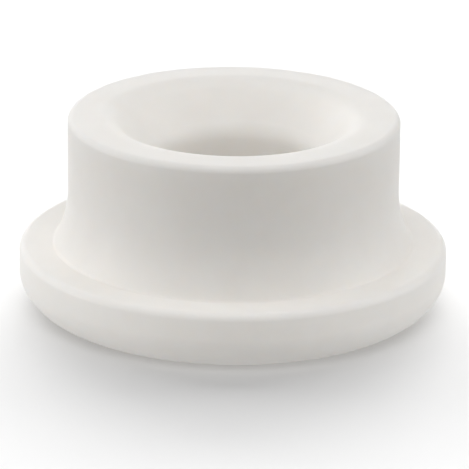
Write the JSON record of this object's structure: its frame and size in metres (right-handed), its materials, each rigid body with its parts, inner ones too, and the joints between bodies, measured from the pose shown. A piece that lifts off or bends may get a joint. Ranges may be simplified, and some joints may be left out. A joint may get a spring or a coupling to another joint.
{
  "type": "gas lens insulator",
  "caption": "Plain white insulating ring for a welding torch's gas lens: a round neck with a funnel mouth and a straight bore, flaring into a wider rounded flange.",
  "frame": {"origin": "centre of the flat foot under the flange, on the bore's axis", "axes": "+Z along the bore's axis, from the foot towards the funnel mouth; X and Y are free, because the part is round"},
  "size_m": [0.026, 0.0258, 0.0118],
  "materials": {
    "insulator": "satin, slightly translucent white fluoropolymer"
  },
  "bodies": {
    "root": {"insulator": "insulator"}
  },
  "joints": []
}
